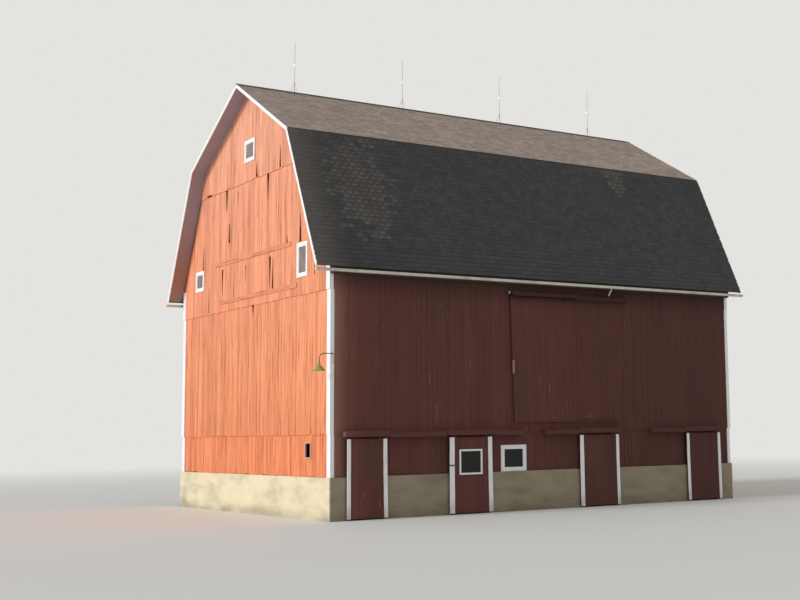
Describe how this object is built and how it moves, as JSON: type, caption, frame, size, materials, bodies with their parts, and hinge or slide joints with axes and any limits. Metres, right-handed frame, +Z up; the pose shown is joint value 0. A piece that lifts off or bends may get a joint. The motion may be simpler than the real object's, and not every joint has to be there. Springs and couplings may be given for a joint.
{
  "type": "barn",
  "caption": "Red timber barn with a gambrel roof, masonry foundation, sliding stable doors at ground level and a hay mow above.",
  "frame": {"origin": "on the ground under the middle of the barn", "axes": "+X along the ridge from the near gable to the far gable, -Y towards the side with the doors, +Z up"},
  "size_m": [15.68, 11.61, 14.7438],
  "materials": {
    "masonry": "parged masonry, worn",
    "red_siding": "weathered red paint on boards",
    "shingles": "asphalt shingles",
    "white_trim": "white paint on boards",
    "dark_trim": "dark red paint on boards",
    "gutter_metal": "cream paint",
    "glass": "old window glass",
    "timber": "rough sawn, unpainted",
    "hardware": "weathered galvanised steel",
    "rod_metal": "weathered",
    "ball_glass": "milk glass",
    "lamp_enamel": "green enamel"
  },
  "bodies": {
    "barn": {"foundation_front": "masonry", "foundation_back": "masonry", "foundation_gables": "masonry", "front_lower_siding": "red_siding", "front_header_siding": "red_siding", "back_lower_siding": "red_siding", "gable_lower_siding": "red_siding", "front_upper_siding": "red_siding", "back_upper_siding": "red_siding", "gable_middle_siding": "red_siding", "gable_upper_siding": "red_siding", "gable_peak_siding": "red_siding", "gable_girts": "red_siding", "mow_door": "red_siding", "door_hoods": "red_siding", "roof_front_lower": "shingles", "roof_front_upper": "shingles", "roof_back_lower": "shingles", "roof_back_upper": "shingles", "ridge_cap": "shingles", "barge_boards": "white_trim", "corner_boards": "white_trim", "window_frames": "white_trim", "eave_fascias": "dark_trim", "eave_soffits": "dark_trim", "gable_soffits": "dark_trim", "gutters": "gutter_metal", "window_glass": "glass", "mow_floor": "timber", "floor_joists": "timber", "floor_beams": "timber", "stable_posts": "timber", "bent_posts": "timber", "bent_ties": "timber", "bent_braces": "timber", "purlins": "timber", "rafters": "timber", "door_rails": "hardware", "mow_door_hangers": "hardware", "lightning_rods": "rod_metal", "lightning_balls": "ball_glass", "lamp_arm": "lamp_enamel", "lamp_shade": "lamp_enamel"},
    "door_1": {"stable_door_1": "red_siding", "door_1_edge_boards": "white_trim", "door_1_hangers": "hardware"},
    "door_2": {"stable_door_2": "red_siding", "door_2_edge_boards": "white_trim", "door_2_hangers": "hardware", "door_2_window_frame": "white_trim", "door_2_window_glass": "glass"},
    "door_3": {"stable_door_3": "red_siding", "door_3_edge_boards": "white_trim", "door_3_hangers": "hardware"},
    "door_4": {"stable_door_4": "red_siding", "door_4_edge_boards": "white_trim", "door_4_hangers": "hardware"}
  },
  "joints": [
    {"name": "door_1_slide", "type": "slide", "parent": "barn", "child": "door_1", "axis": [1, 0, 0], "range_m": [0, 1.28]},
    {"name": "door_2_slide", "type": "slide", "parent": "barn", "child": "door_2", "axis": [1, 0, 0], "range_m": [0, 1.24]},
    {"name": "door_3_slide", "type": "slide", "parent": "barn", "child": "door_3", "axis": [-1, 0, 0], "range_m": [0, 1.33]},
    {"name": "door_4_slide", "type": "slide", "parent": "barn", "child": "door_4", "axis": [-1, 0, 0], "range_m": [0, 1.39]}
  ]
}
